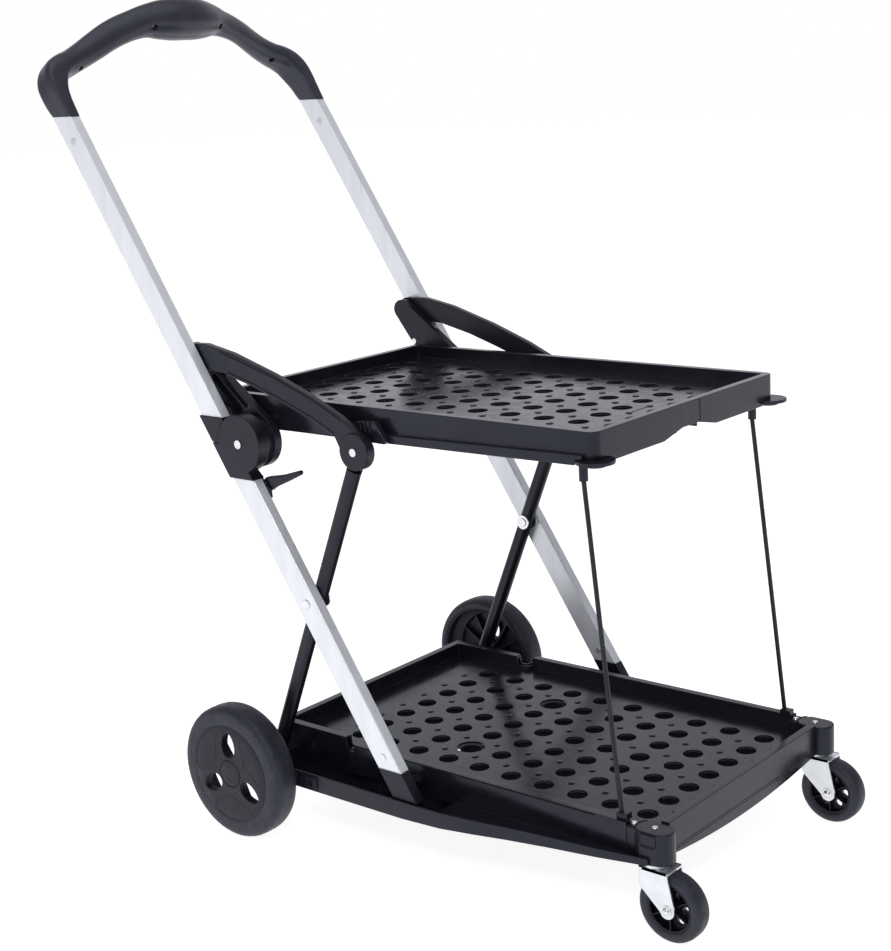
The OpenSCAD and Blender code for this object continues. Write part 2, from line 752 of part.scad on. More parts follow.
translate([ox, 0, -floor_z]) {
  lower_deck();
  corner_post(-1);  // corner_post_near
  corner_post(1);  // corner_post_far
  corner_rivets();
  side_clips();
  rear_axle();
  leg_foot_pins();
  cord_anchors();
  caster_bearings();
  rear_rim(-1);  // rear_rim_near
  rear_tyre(-1);  // rear_tyre_near
  rear_cap(-1);  // rear_cap_near
  rear_rim(1);  // rear_rim_far
  rear_tyre(1);  // rear_tyre_far
  rear_cap(1);  // rear_cap_far
  caster_fork(-1);  // caster_fork_near
  caster_axle(-1);  // caster_axle_near
  caster_hub(-1);  // caster_hub_near
  caster_tyre(-1);  // caster_tyre_near
  caster_fork(1);  // caster_fork_far
  caster_axle(1);  // caster_axle_far
  caster_hub(1);  // caster_hub_far
  caster_tyre(1);  // caster_tyre_far
  leg(-1);  // leg_near
  leg(1);  // leg_far
  cross_rivets();
  cross_washers();
  leg_rollers();
  lower_tube(-1);  // lower_tube_near
  lower_tube(1);  // lower_tube_far
  hinge_collar(-1);  // hinge_collar_near
  hinge_collar(1);  // hinge_collar_far
  tube_boot(-1);  // tube_boot_near
  tube_boot(1);  // tube_boot_far
  boot_screws();
  boot_rollers();
  hinge_pins();
  release_lever();
  lever_pin();
  upper_tube(-1);  // upper_tube_near
  upper_tube(1);  // upper_tube_far
  hinge_plate(-1);  // hinge_plate_near
  hinge_plate(1);  // hinge_plate_far
  plate_screws();
  tube_rivets();
  grip_front();
  grip_back();
  grip_screws();
  arm(-1);  // arm_near
  arm(1);  // arm_far
  arm_rivets();
  upper_deck();
  corner_discs();
  cord_sockets();
  cord(-1);  // cord_near
  cord(1);  // cord_far
}
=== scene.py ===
import json
from math import atan2, cos, degrees, hypot, pi, radians, sin

import bmesh
import bpy
from mathutils import Matrix, Vector


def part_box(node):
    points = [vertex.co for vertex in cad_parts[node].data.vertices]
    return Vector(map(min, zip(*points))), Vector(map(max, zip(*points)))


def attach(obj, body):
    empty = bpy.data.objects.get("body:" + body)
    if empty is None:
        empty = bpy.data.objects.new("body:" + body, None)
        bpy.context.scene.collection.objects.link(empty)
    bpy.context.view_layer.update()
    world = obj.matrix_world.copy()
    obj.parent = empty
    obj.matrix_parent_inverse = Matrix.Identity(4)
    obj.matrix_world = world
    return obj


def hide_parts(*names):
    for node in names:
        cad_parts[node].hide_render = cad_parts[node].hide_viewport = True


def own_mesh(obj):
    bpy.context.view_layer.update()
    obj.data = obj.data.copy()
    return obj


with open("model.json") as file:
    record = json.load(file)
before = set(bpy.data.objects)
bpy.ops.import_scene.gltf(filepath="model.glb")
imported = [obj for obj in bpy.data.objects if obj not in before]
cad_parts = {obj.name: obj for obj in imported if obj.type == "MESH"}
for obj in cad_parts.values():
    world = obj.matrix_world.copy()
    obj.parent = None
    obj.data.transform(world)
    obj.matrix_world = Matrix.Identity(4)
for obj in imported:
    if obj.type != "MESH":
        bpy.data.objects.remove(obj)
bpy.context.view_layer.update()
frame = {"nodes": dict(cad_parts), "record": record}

# Folding platform cart. X runs forward, Y across (near side is -Y), Z up, in metres.
# Places are written in millimetres from a point 82.5 mm under the rear axle.

MM = 0.001
SIDES = {"near": -1, "far": 1}


def middle(node):
    """Centre of a node's box."""
    low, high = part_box(node)
    return (low + high) / 2


AXLE = middle("rear_axle")
AXLE_HEIGHT = 82.5


def place(x, y, z):
    """Point given in millimetres from the point under the rear axle."""
    return Vector((AXLE.x + x * MM, y * MM, AXLE.z + (z - AXLE_HEIGHT) * MM))


# ---------------------------------------------------------------- camera

VIEW_AZIMUTH = radians(40.6)
VIEW_HEIGHT = radians(13.43)
VIEW_ROLL = radians(-3.11)
VIEW_DISTANCE = 2183.3 * MM
VIEW_TARGET = place(148.5, 0, 426.1)
VIEW_LENS = 64.85


def make_camera():
    """Camera that looks at the target from the near side and the front, slightly rolled."""
    back = Vector((sin(VIEW_AZIMUTH) * cos(VIEW_HEIGHT), -cos(VIEW_AZIMUTH) * cos(VIEW_HEIGHT),
                   sin(VIEW_HEIGHT)))
    right = (-back).cross(Vector((0, 0, 1))).normalized()
    up = back.cross(right)
    rolled_right = cos(VIEW_ROLL) * right + sin(VIEW_ROLL) * up
    rolled_up = cos(VIEW_ROLL) * up - sin(VIEW_ROLL) * right
    data = bpy.data.cameras.new("camera")
    data.lens = VIEW_LENS
    data.sensor_width = 36
    data.sensor_fit = "AUTO"
    camera = bpy.data.objects.new("camera", data)
    turn = Matrix((rolled_right, rolled_up, back)).transposed()
    camera.matrix_world = Matrix.Translation(VIEW_TARGET + back * VIEW_DISTANCE) @ turn.to_4x4()
    bpy.context.scene.collection.objects.link(camera)
    bpy.context.scene.camera = camera


make_camera()

# ---------------------------------------------------------------- materials


class Finish:
    """A node material being built: a Principled shader and the nodes that feed it."""

    def __init__(self, name, roughness, specular=0.5, metallic=0.0):
        self.material = bpy.data.materials.new(name)
        self.material.use_nodes = True
        self.nodes = self.material.node_tree.nodes
        self.links = self.material.node_tree.links
        self.shader = self.nodes["Principled BSDF"]
        self.shader.inputs["Roughness"].default_value = roughness
        self.shader.inputs["Specular IOR Level"].default_value = specular
        self.shader.inputs["Metallic"].default_value = metallic
        if not metallic:
            self.shader.inputs["Specular Tint"].default_value = (0.8, 0.83, 1.0, 1)
        self.where = self.nodes.new("ShaderNodeTexCoord").outputs["Object"]
        self.height = None

    def noise(self, size_mm, detail=3.0, stretch=None, roughness=0.55):
        """Noise whose features are about size_mm across, pulled out along an axis by stretch."""
        vector = self.where
        if stretch:
            mapping = self.nodes.new("ShaderNodeMapping")
            mapping.inputs["Scale"].default_value = stretch
            self.links.new(self.where, mapping.inputs["Vector"])
            vector = mapping.outputs["Vector"]
        node = self.nodes.new("ShaderNodeTexNoise")
        node.inputs["Scale"].default_value = 1 / (size_mm * MM)
        node.inputs["Detail"].default_value = detail
        node.inputs["Roughness"].default_value = roughness
        self.links.new(vector, node.inputs["Vector"])
        return node.outputs["Fac"]

    def spread(self, value, low, high, out_low, out_high):
        """Stretch a value from one range to another."""
        node = self.nodes.new("ShaderNodeMapRange")
        node.inputs["From Min"].default_value = low
        node.inputs["From Max"].default_value = high
        node.inputs["To Min"].default_value = out_low
        node.inputs["To Max"].default_value = out_high
        self.links.new(value, node.inputs["Value"])
        return node.outputs["Result"]

    def colours(self, value, first, second):
        """Colour between two fixed colours."""
        node = self.nodes.new("ShaderNodeMix")
        node.data_type = "RGBA"
        node.inputs["A"].default_value = (*first, 1)
        node.inputs["B"].default_value = (*second, 1)
        self.links.new(value, node.inputs["Factor"])
        return node.outputs["Result"]

    def blend_colours(self, value, first, second):
        """Colour between a computed colour and a fixed one."""
        node = self.nodes.new("ShaderNodeMix")
        node.data_type = "RGBA"
        self.links.new(first, node.inputs["A"])
        node.inputs["B"].default_value = (*second, 1)
        self.links.new(value, node.inputs["Factor"])
        return node.outputs["Result"]

    def set(self, socket, value):
        """Feed a value into the shader."""
        self.links.new(value, self.shader.inputs[socket])

    def bump(self, value, strength, depth_mm):
        """Add relief on top of any relief already there."""
        node = self.nodes.new("ShaderNodeBump")
        node.inputs["Strength"].default_value = strength
        node.inputs["Distance"].default_value = depth_mm * MM
        self.links.new(value, node.inputs["Height"])
        if self.height:
            self.links.new(self.height, node.inputs["Normal"])
        self.height = node.outputs["Normal"]
        self.links.new(self.height, self.shader.inputs["Normal"])


def moulded(name, colour, roughness, grain_mm, grain_depth, scuffs=0.25, specular=0.5):
    """Moulded plastic: fine spark grain, cloudy colour, and paler rubbed patches."""
    finish = Finish(name, roughness, specular)
    dark = tuple(c * 0.82 for c in colour)
    light = tuple(c * 1.2 for c in colour)
    rubbed = tuple(c * 1.7 + 0.012 for c in colour)
    cloud = finish.spread(finish.noise(55, 4), 0.3, 0.7, 0, 1)
    wear = finish.spread(finish.noise(9, 8, roughness=0.75), 0.58, 0.78, 0, scuffs)
    finish.set("Base Color", finish.blend_colours(wear, finish.colours(cloud, dark, light), rubbed))
    finish.set("Roughness", finish.spread(finish.noise(24, 6, roughness=0.7), 0.3, 0.7,
                                          roughness - 0.07, roughness + 0.08))
    finish.bump(finish.noise(grain_mm, 2), 0.5, grain_depth)
    finish.bump(finish.noise(70, 2), 0.25, 0.35)
    return finish.material


def metal(name, colour, roughness, stretch, grain_mm, depth, patches=0.1, metallic=1.0):
    """Metal with a drawn grain, slightly cloudy tone and fine handling marks."""
    finish = Finish(name, roughness, metallic=metallic)
    dark = tuple(c * (1 - patches) for c in colour)
    tone = finish.spread(finish.noise(16, 5, stretch), 0.3, 0.7, 0, 1)
    finish.set("Base Color", finish.colours(tone, dark, colour))
    finish.set("Roughness", finish.spread(finish.noise(6, 6, stretch, 0.7), 0.25, 0.75,
                                          roughness - 0.06, roughness + 0.1))
    finish.bump(finish.noise(grain_mm, 3, stretch), 0.4, depth)
    return finish.material


def rubber(name, colour, roughness):
    """Dull rubber with dusty patches."""
    finish = Finish(name, roughness, specular=0.4)
    cloud = finish.spread(finish.noise(18, 6, roughness=0.7), 0.3, 0.7, 0, 1)
    dust = tuple(c * 1.6 + 0.01 for c in colour)
    finish.set("Base Color", finish.colours(cloud, colour, dust))
    finish.set("Roughness", finish.spread(finish.noise(7, 5), 0.3, 0.7, roughness - 0.06,
                                          roughness + 0.08))
    finish.bump(finish.noise(0.9, 3), 0.5, 0.08)
    return finish.material


EVEN = (1, 1, 1)
ALONG_TUBE = (1.0, 1.0, 0.08)
MATERIALS = {
    "deck_plastic": moulded("deck_plastic", (0.009, 0.0094, 0.0145), 0.2, 0.7, 0.025, 0.2, 0.32),
    "frame_plastic": moulded("frame_plastic", (0.0075, 0.0079, 0.0125), 0.34, 0.6, 0.035, 0.2, 0.36),
    "grip_plastic": moulded("grip_plastic", (0.024, 0.0245, 0.0345), 0.33, 0.5, 0.03, 0.12, 0.45),
    "tube_aluminium": metal("tube_aluminium", (0.83, 0.85, 0.9), 0.3, ALONG_TUBE, 0.5, 0.012,
                            metallic=0.42),
    "leg_steel": moulded("leg_steel", (0.003, 0.0034, 0.005), 0.36, 0.8, 0.05, 0.1, 0.4),
    "bright_steel": metal("bright_steel", (0.78, 0.79, 0.81), 0.25, EVEN, 0.6, 0.01),
    "zinc_steel": metal("zinc_steel", (0.8, 0.82, 0.86), 0.32, EVEN, 1.2, 0.02, 0.15, 0.85),
    "wheel_plastic": moulded("wheel_plastic", (0.0068, 0.0072, 0.0115), 0.5, 0.7, 0.04, 0.15, 0.4),
    # near-black copy of the deck plastic for the collars under the floor holes: painted shade inside the
    # holes
    "painted_hole_shade": moulded("painted_hole_shade", (0.001, 0.0011, 0.0016), 0.7, 0.7, 0.04, 0.05, 0.12),
    # near-black plastic of the swivel wheels' hubs; also used for the floor slits' strips, where it is
    # painted shade
    "hub_plastic_and_slit_shade": moulded("hub_plastic_and_slit_shade", (0.0018, 0.002, 0.003), 0.35, 0.7, 0.04, 0.1, 0.3),
    "tyre_rubber": rubber("tyre_rubber", (0.0125, 0.013, 0.0195), 0.5),
    "cord_rubber": rubber("cord_rubber", (0.003, 0.003, 0.004), 0.45),
}

# ---------------------------------------------------------------- making meshes


def add_object(name, mesh, body, slot, look=None):
    """A new piece on a body, with its slot's material or a variant of it."""
    piece = bpy.data.objects.new(name, mesh)
    bpy.context.scene.collection.objects.link(piece)
    mesh.materials.clear()
    mesh.materials.append(MATERIALS[look or slot])
    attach(piece, body)
    return piece


def mesh_from(bm, name, sharp=35):
    """Finish a bmesh: faces outward, smooth except over edges sharper than the angle."""
    bmesh.ops.remove_doubles(bm, verts=bm.verts, dist=1e-6)
    bmesh.ops.recalc_face_normals(bm, faces=bm.faces)
    mesh = bpy.data.meshes.new(name)
    bm.to_mesh(mesh)
    bm.free()
    for face in mesh.polygons:
        face.use_smooth = True
    mesh.set_sharp_from_angle(angle=radians(sharp))
    return mesh


def frame_at(origin, along):
    """Matrix whose Z runs along a direction, for turned shapes."""
    return Matrix.Translation(origin) @ Vector(along).to_track_quat("Z", "Y").to_matrix().to_4x4()


def lathe(bm, profile, matrix, steps=64):
    """Turn (radius, height) points, in millimetres, about the matrix's Z axis."""
    rings = []
    for radius, height in profile:
        if radius < 1e-6:
            rings.append([bm.verts.new(matrix @ Vector((0, 0, height * MM)))])
            continue
        rings.append([bm.verts.new(matrix @ Vector((radius * MM * cos(2 * pi * k / steps),
                                                    radius * MM * sin(2 * pi * k / steps), height * MM)))
                      for k in range(steps)])
    for low, high in zip(rings, rings[1:]):
        for k in range(steps):
            after = (k + 1) % steps
            ring = [low[k % len(low)], low[after % len(low)], high[after % len(high)], high[k % len(high)]]
            corners = list(dict.fromkeys(ring))
            if len(corners) > 2:
                bm.faces.new(corners)


def loft(bm, sections, closed=False, caps=True):
    """Skin a list of equal rings of points."""
    rings = [[bm.verts.new(point) for point in section] for section in sections]
    count = len(rings[0])
    pairs = list(zip(rings, rings[1:])) + ([(rings[-1], rings[0])] if closed else [])
    for first, second in pairs:
        for k in range(count):
            after = (k + 1) % count
            bm.faces.new((first[k], first[after], second[after], second[k]))
    if caps and not closed:
        bm.faces.new(rings[0][::-1])
        bm.faces.new(rings[-1])


def smooth_path(points, per_span):
    """Catmull-Rom curve through the points, the ends included."""
    ends = [points[0] * 2 - points[1], *points, points[-1] * 2 - points[-2]]
    path = []
    for k in range(1, len(ends) - 2):
        a, b, c, d = ends[k - 1:k + 3]
        for step in range(per_span):
            t = step / per_span
            path.append(0.5 * (2 * b + (c - a) * t + (2 * a - 5 * b + 4 * c - d) * t * t
                               + (3 * b - a - 3 * c + d) * t ** 3))
    return path + [points[-1]]


def cut(piece, cutters):
    """Take closed shapes out of a piece and throw them away."""
    for shape in cutters:
        tool = bpy.data.objects.new("cutter", shape)
        bpy.context.scene.collection.objects.link(tool)
        step = piece.modifiers.new("cut", "BOOLEAN")
        step.operation = "DIFFERENCE"
        step.solver = "EXACT"
        step.object = tool
        bpy.context.view_layer.update()
        result = bpy.data.meshes.new_from_object(
            piece.evaluated_get(bpy.context.evaluated_depsgraph_get()))
        piece.modifiers.clear()
        piece.data = result
        bpy.data.objects.remove(tool)


def soften(piece, width_mm, angle=35):
    """Round the edges that are sharper than the angle."""
    edge = piece.modifiers.new("edge", "BEVEL")
    edge.width = width_mm * MM
    edge.segments = 2
    edge.angle_limit = radians(angle)


def plate(bm, outline, y_in, y_out, s):
    """Flat plate from an outline of (x, z) points, between two distances from the middle."""
    loft(bm, [[place(x, s * y, z) for x, z in outline] for y in (y_in, y_out)])


# ---------------------------------------------------------------- front cords

CORD_RADIUS = 2.7
CORD_BOTTOM = (530.6, 180.7, 130.12)
CORD_TOP = (492, 176, 496.6)
CORD_POINTS = 24
CORD_SIDES = 20


def make_cord(side, s):
    """Taut elastic cord from the corner block up to its socket."""
    start = place(CORD_BOTTOM[0], s * CORD_BOTTOM[1], CORD_BOTTOM[2])
    end = place(CORD_TOP[0], s * CORD_TOP[1], CORD_TOP[2])
    path = [start.lerp(end, k / (CORD_POINTS - 1)) for k in range(CORD_POINTS)]
    turn = frame_at(start, end - start).to_3x3()
    angles = [2 * pi * k / CORD_SIDES for k in range(CORD_SIDES)]
    ring = [turn @ Vector((cos(angle), sin(angle), 0)) * CORD_RADIUS * MM for angle in angles]
    bm = bmesh.new()
    loft(bm, [[point + offset for offset in ring] for point in path])
    cord = add_object(f"front_cord_{side}", mesh_from(bm, f"front_cord_{side}"), "lower_frame",
                      "cord_rubber")
    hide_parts(f"cord_{side}")
    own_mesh(cord)


for side, s in SIDES.items():
    make_cord(side, s)

# ---------------------------------------------------------------- handle grip

HINGE = (20.5, 501)
LEAN = radians(32.64)
# lowest point along the handle at a distance forward: (first - second * forward) / third
GRIP_CUT = (395, 0.5393, 0.8421)
# overlap of the two halves, and the step in their outline along the parting
PARTING = 0.2
PARTING_STEP = 0.5
HALF_STEPS = 32
# rows of the grip, from the foot of a socket to the middle of the bow:
# distance from the middle, height along the tube, forward, half width, half depth, squareness
GRIP_FOOT = (222.4, 466, -23, 8.1, 15.9, 9)
GRIP_PATH = [(222.4, 500, -23, 9.6, 16.3, 9), (221.5, 517, -23, 12, 17, 8), (217.5, 533, -22.8, 15, 18, 5.5),
             (210, 545, -22, 16.4, 18.3, 3.8), (197, 553.5, -20.5, 15.8, 18.6, 2.8),
             (180, 559.5, -18, 15.7, 17.5, 2.3), (160, 567, -13, 16.6, 15.6, 2.2),
             (140, 574.5, -5.5, 17.8, 14, 2.2), (120, 582, 2.6, 18.6, 13.4, 2.2),
             (100, 587.8, 9.2, 19.2, 13.4, 2.2), (80, 591.5, 14.5, 19.6, 15, 2.25),
             (60, 594, 19, 21, 19, 2.3), (40, 593, 23, 24.5, 23, 2.35), (20, 591.5, 26, 26.5, 25.5, 2.35),
             (0, 591, 27.5, 27, 26, 2.35)]
# distance from the middle, angle below forward, distance of the surface from the section's middle
GRIP_SCREWS = [(57, 58, 22.3), (175, 72, 16)]
RECESS_DEPTH = 7
RECESS_RADIUS = 4.2
RECESS_LENGTH = 20
HEAD_PROFILE = [(0, 1.6), (1.6, 1.5), (2.4, 0.9), (2.8, 0.1), (2.8, -0.6), (0, -0.6)]


def recess_cutter(bottom, along):
    """Closed cylinder that cuts a screw recess."""
    bm = bmesh.new()
    lathe(bm, [(0, 0), (RECESS_RADIUS, 0), (RECESS_RADIUS, RECESS_LENGTH), (0, RECESS_LENGTH)],
          frame_at(bottom, along), 28)
    return mesh_from(bm, "cutter")


def in_handle(forward, across, along):
    """Point in the leaning handle plane, measured from the fold pivot."""
    return place(HINGE[0] + cos(LEAN) * forward - sin(LEAN) * along, across,
                 HINGE[1] + sin(LEAN) * forward + cos(LEAN) * along)


def grip_rows():
    """Rows of the grip from its near foot over the bow to its far foot."""
    half = smooth_path([Vector(row) for row in GRIP_PATH], 5)
    mirrored = [Vector((-row[0], *row[1:])) for row in half[:-1]]
    return [Vector((-GRIP_FOOT[0], *GRIP_FOOT[1:])), *mirrored, *half[::-1], Vector(GRIP_FOOT)]


def grip_frame(rows, k):
    """Middle of a grip section with its forward and outward directions, in handle axes."""
    before, after = rows[max(k - 1, 0)], rows[min(k + 1, len(rows) - 1)]
    run = Vector((after[2] - before[2], after[0] - before[0], after[1] - before[1])).normalized()
    ahead = (Vector((1, 0, 0)) - run * run.x).normalized()
    return Vector((rows[k][2], rows[k][0], rows[k][1])), ahead, ahead.cross(run)


def grip_half(name, node, facing):
    """One moulded half of the grip: rectangular sockets that swell into a bow bent forward."""
    rows = grip_rows()
    sections = []
    for k, row in enumerate(rows):
        centre, ahead, outward = grip_frame(rows, k)
        section = []
        for step in range(HALF_STEPS + 1):
            turn = pi * step / HALF_STEPS
            power = 2 / row[5]
            wide = row[3] * abs(cos(turn)) ** power * (1 if cos(turn) > 0 else -1)
            deep = row[4] * abs(sin(turn)) ** power
            if step in (0, HALF_STEPS):
                wide -= PARTING_STEP * (1 if wide > 0 else -1)
                deep = -PARTING
            point = centre + outward * wide + ahead * facing * deep
            lowest = (GRIP_CUT[0] - GRIP_CUT[1] * point.x) / GRIP_CUT[2]
            section.append(in_handle(point.x, point.y, max(point.z, lowest)))
        sections.append(section)
    bm = bmesh.new()
    loft(bm, sections)
    bmesh.ops.remove_doubles(bm, verts=bm.verts, dist=2e-5)
    piece = add_object(name, mesh_from(bm, name, 50), "handle", "grip_plastic")
    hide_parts(node)
    return piece


def make_grip():
    """Both halves of the grip, with screw heads sunk in the front one."""
    front = grip_half("grip_front_shell", "grip_front", 1)
    grip_half("grip_back_shell", "grip_back", -1)
    rows = grip_rows()
    holes = []
    heads = bmesh.new()
    for across, below, reach in GRIP_SCREWS:
        for s in SIDES.values():
            k = min(range(len(rows)), key=lambda n: abs(rows[n][0] - s * across))
            centre, ahead, outward = grip_frame(rows, k)
            out = ahead * cos(radians(below)) - outward * sin(radians(below))
            bottom = in_handle(*(centre + out * (reach - RECESS_DEPTH)))
            along = in_handle(*(centre + out * reach)) - bottom
            holes.append(recess_cutter(bottom, along))
            lathe(heads, HEAD_PROFILE, frame_at(bottom, along), 24)
    cut(front, holes)
    front.data.set_sharp_from_angle(angle=radians(50))
    screws = add_object("grip_screw_heads", mesh_from(heads, "grip_screw_heads"), "handle", "bright_steel")
    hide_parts("grip_screws")


make_grip()

# ---------------------------------------------------------------- rear wheels

# distance of a wheel's inner face from the middle of the cart
REAR_INNER = 237
HOLE_ANGLES = (90, 210, 330)
HOLE_RADIUS = 37.7
HOLE_HALF_LENGTH = 17.3
HOLE_HALF_WIDTH = 11.4
HOLE_TAPER = 0.16
HOLE_LIP = 1.8
# heights along the axle between which the holes have walls, and the cutters run
HOLE_WALL = (26, 33)
HOLE_CUT = (20, 45)
WEB_HALF_THICKNESS = 1.3
# radius and height of the corners of a web between hub and rim
WEB_CORNERS = ((16, 20), (59.5, 23), (59.5, 30), (16, 30))
BEAD_RADIUS = 0.45
BEAD_HEIGHT = 36.5
# (radius, height) outlines turned about the axle, in order round the section
TYRE_PROFILE = [(73.7, 4), (74.3, 1.2), (76, 0.2), (78, 0.1), (80.7, 1.0), (83.6, 3.6), (85.4, 7.6),
                (86, 12.5), (86, 24), (85.6, 28.4), (84.3, 32), (82, 34.6), (79, 36), (75, 36.5),
                (69, 36.65), (64.2, 36.65), (63.85, 36.55), (63.85, 27.2), (73.7, 17.7)]
RIM_PROFILE = [(6.3, -1), (16, -1), (17, 0), (17, 29), (30, 30.8), (59, 30.2), (60.5, 24), (70.5, 17),
               (71.5, 15), (71.5, 3), (73.5, 3), (73.5, 17.6), (63.6, 27), (63.6, 36.5), (63.4, 36.6),
               (50, 36.75), (34, 36.8), (18.3, 36.85), (17.7, 36.4), (17.7, 34.5), (6.3, 34.5)]
CAP_PROFILE = [(0, 37.2), (10, 37.15), (15.5, 36.9), (16.8, 36.6), (17.2, 36), (17.2, 33.5), (0, 33.5)]
# radius and angle of the raised outline between two holes
PETAL = [(59, -34), (62, -24), (62.3, 0), (62, 24), (59, 34), (50, 35), (40, 24), (31, 0), (40, -24),
         (50, -35)]


def wheel_point(centre, s, radius, angle, height):
    """Point on a wheel: radius and angle in its plane, height out along its axle."""
    turn = radians(angle)
    return centre + Vector((radius * cos(turn), s * height, radius * sin(turn))) * MM


def hole_outline(centre, s, angle, height, grow=0):
    """Long oval finger hole, a little narrower towards the tyre."""
    points = []
    for k in range(36):
        turn = 2 * pi * k / 36
        across = (HOLE_HALF_WIDTH + grow) * sin(turn) * (1 - HOLE_TAPER * cos(turn))
        radius = HOLE_RADIUS + (HOLE_HALF_LENGTH + grow) * cos(turn)
        points.append(wheel_point(centre, s, hypot(radius, across),
                                  angle + degrees(atan2(across, radius)), height))
    return points


def tube_along(bm, path, radius, normal, closed=False, sides=8):
    """Thin round bead along a path that lies across the normal."""
    sections = []
    count = len(path)
    for k, point in enumerate(path):
        before = path[k - 1] if closed or k else point
        after = path[(k + 1) % count] if closed or k < count - 1 else point
        side = (after - before).cross(normal).normalized()
        sections.append([point + (side * cos(2 * pi * j / sides) + normal * sin(2 * pi * j / sides))
                         * radius * MM for j in range(sides)])
    loft(bm, sections, closed=closed)


def make_rear_wheel(side, s):
    """Rear wheel: tyre, dished rim with three finger holes, webs behind them, hub cap and beads."""
    body = f"rear_wheel_{side}"
    centre = place(0, s * REAR_INNER, AXLE_HEIGHT)
    turned = frame_at(centre, (0, s, 0))
    bm = bmesh.new()
    lathe(bm, TYRE_PROFILE + TYRE_PROFILE[:1], turned, 120)
    tyre = add_object(f"tyre_{side}", mesh_from(bm, f"tyre_{side}", 60), body, "tyre_rubber")
    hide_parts(f"rear_tyre_{side}")

    bm = bmesh.new()
    lathe(bm, RIM_PROFILE + RIM_PROFILE[:1], turned, 120)
    rim = add_object(f"rim_{side}", mesh_from(bm, f"rim_{side}"), body, "wheel_plastic")
    cutters = []
    for angle in HOLE_ANGLES:
        hole = bmesh.new()
        loft(hole, [hole_outline(centre, s, angle, height) for height in HOLE_CUT])
        cutters.append(mesh_from(hole, "hole"))
    cut(rim, cutters)
    rim.data.set_sharp_from_angle(angle=radians(35))
    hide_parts(f"rear_rim_{side}")

    bm = bmesh.new()
    for angle in HOLE_ANGLES:
        low, high = HOLE_WALL
        corners = ((low, HOLE_LIP), (high, HOLE_LIP), (high, 0), (low, 0))
        loft(bm, [hole_outline(centre, s, angle, height, grow) for height, grow in corners], closed=True)
    for angle in range(0, 360, 30):
        if angle in HOLE_ANGLES:
            continue
        along = Vector((cos(radians(angle)), 0, sin(radians(angle))))
        across = Vector((-along.z, 0, along.x)) * WEB_HALF_THICKNESS * MM
        section = [centre + along * radius * MM + Vector((0, s * height * MM, 0))
                   for radius, height in WEB_CORNERS]
        loft(bm, [[point - across for point in section], [point + across for point in section]])
    add_object(f"rim_webs_{side}", mesh_from(bm, f"rim_webs_{side}"), body, "wheel_plastic")

    bm = bmesh.new()
    lathe(bm, CAP_PROFILE, turned, 64)
    cap = add_object(f"hub_cap_{side}", mesh_from(bm, f"hub_cap_{side}"), body, "wheel_plastic")
    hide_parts(f"rear_cap_{side}")

    bm = bmesh.new()
    for angle in HOLE_ANGLES:
        rows = [Vector((radius, angle + 60 + turn)) for radius, turn in PETAL]
        path = smooth_path(rows + rows[:1], 8)[:-1]
        tube_along(bm, [wheel_point(centre, s, row.x, row.y, BEAD_HEIGHT + (63 - row.x) * 0.008)
                        for row in path], BEAD_RADIUS, Vector((0, s, 0)), closed=True)
    add_object(f"rim_petals_{side}", mesh_from(bm, f"rim_petals_{side}", 80), body, "wheel_plastic")


for side, s in SIDES.items():
    make_rear_wheel(side, s)

# ---------------------------------------------------------------- swivel wheels

CASTER_AXLE_X = 597
CASTER_Y = 182
CASTER_AXLE_Z = 36.5
CASTER_TYRE = [(27.2, -8.5), (27.8, -10.4), (29.5, -11.6), (33.5, -11.9), (37, -10.9), (39, -8.6),
               (39.8, -5.2), (40, 0), (39.8, 5.2), (39, 8.6), (37, 10.9), (33.5, 11.9), (29.5, 11.6),
               (27.8, 10.4), (27.2, 8.5)]
BOLT_PROFILE = [(0, 19.6), (2.4, 19.3), (3.9, 18.4), (4.4, 17.3), (4.5, 16.6), (6.3, 16.5), (6.5, 16.1),
                (6.5, 15.6), (3, 15.55), (3, 0)]
# pressed fork: half width, thickness, back edge, corner radius, height of its top and of its underside
FORK_OUT = 15.5
FORK_WALL = 2.0
FORK_REAR = 558.5
FORK_CORNER = 8
FORK_TOP = 79.6
FORK_PLATE = 77.2
# round nose about the axle, then an edge that climbs to the back; the front edge falls from the top
FORK_NOSE = 9.4
FORK_NOSE_END = 588.4
FORK_NOSE_LOW = 34.2
FORK_REAR_SLOPE = 0.93
FORK_FRONT_START = 597.5
FORK_FRONT_SLOPE = 4.25
FORK_LID = [(558.5, -10), (561.5, -14), (563, -15.5), (597.5, -15.5), (599, -12), (599, 12),
            (597.5, 15.5), (563, 15.5), (561.5, 14), (558.5, 10)]
# places along a cheek, from its front corner back to the bend
FORK_STATIONS = (606.4, 606.1, 605.3, 604, 602.3, 600, 597.5, 594.5, 591.5, 588.4, 584, 578, 572, 566.5)


def caster_axle(s):
    """Middle of a swivel wheel."""
    return place(CASTER_AXLE_X, s * CASTER_Y, CASTER_AXLE_Z)


def fork_edges(x):
    """Lowest and highest point of a fork cheek at a distance along the cart."""
    if x > FORK_NOSE_END:
        low = CASTER_AXLE_Z - max(FORK_NOSE ** 2 - (x - CASTER_AXLE_X) ** 2, 0) ** 0.5
    else:
        low = FORK_NOSE_LOW + (FORK_NOSE_END - x) * FORK_REAR_SLOPE
    high = FORK_TOP - max(x - FORK_FRONT_START, 0) * FORK_FRONT_SLOPE
    return low, max(high, low + 0.4)


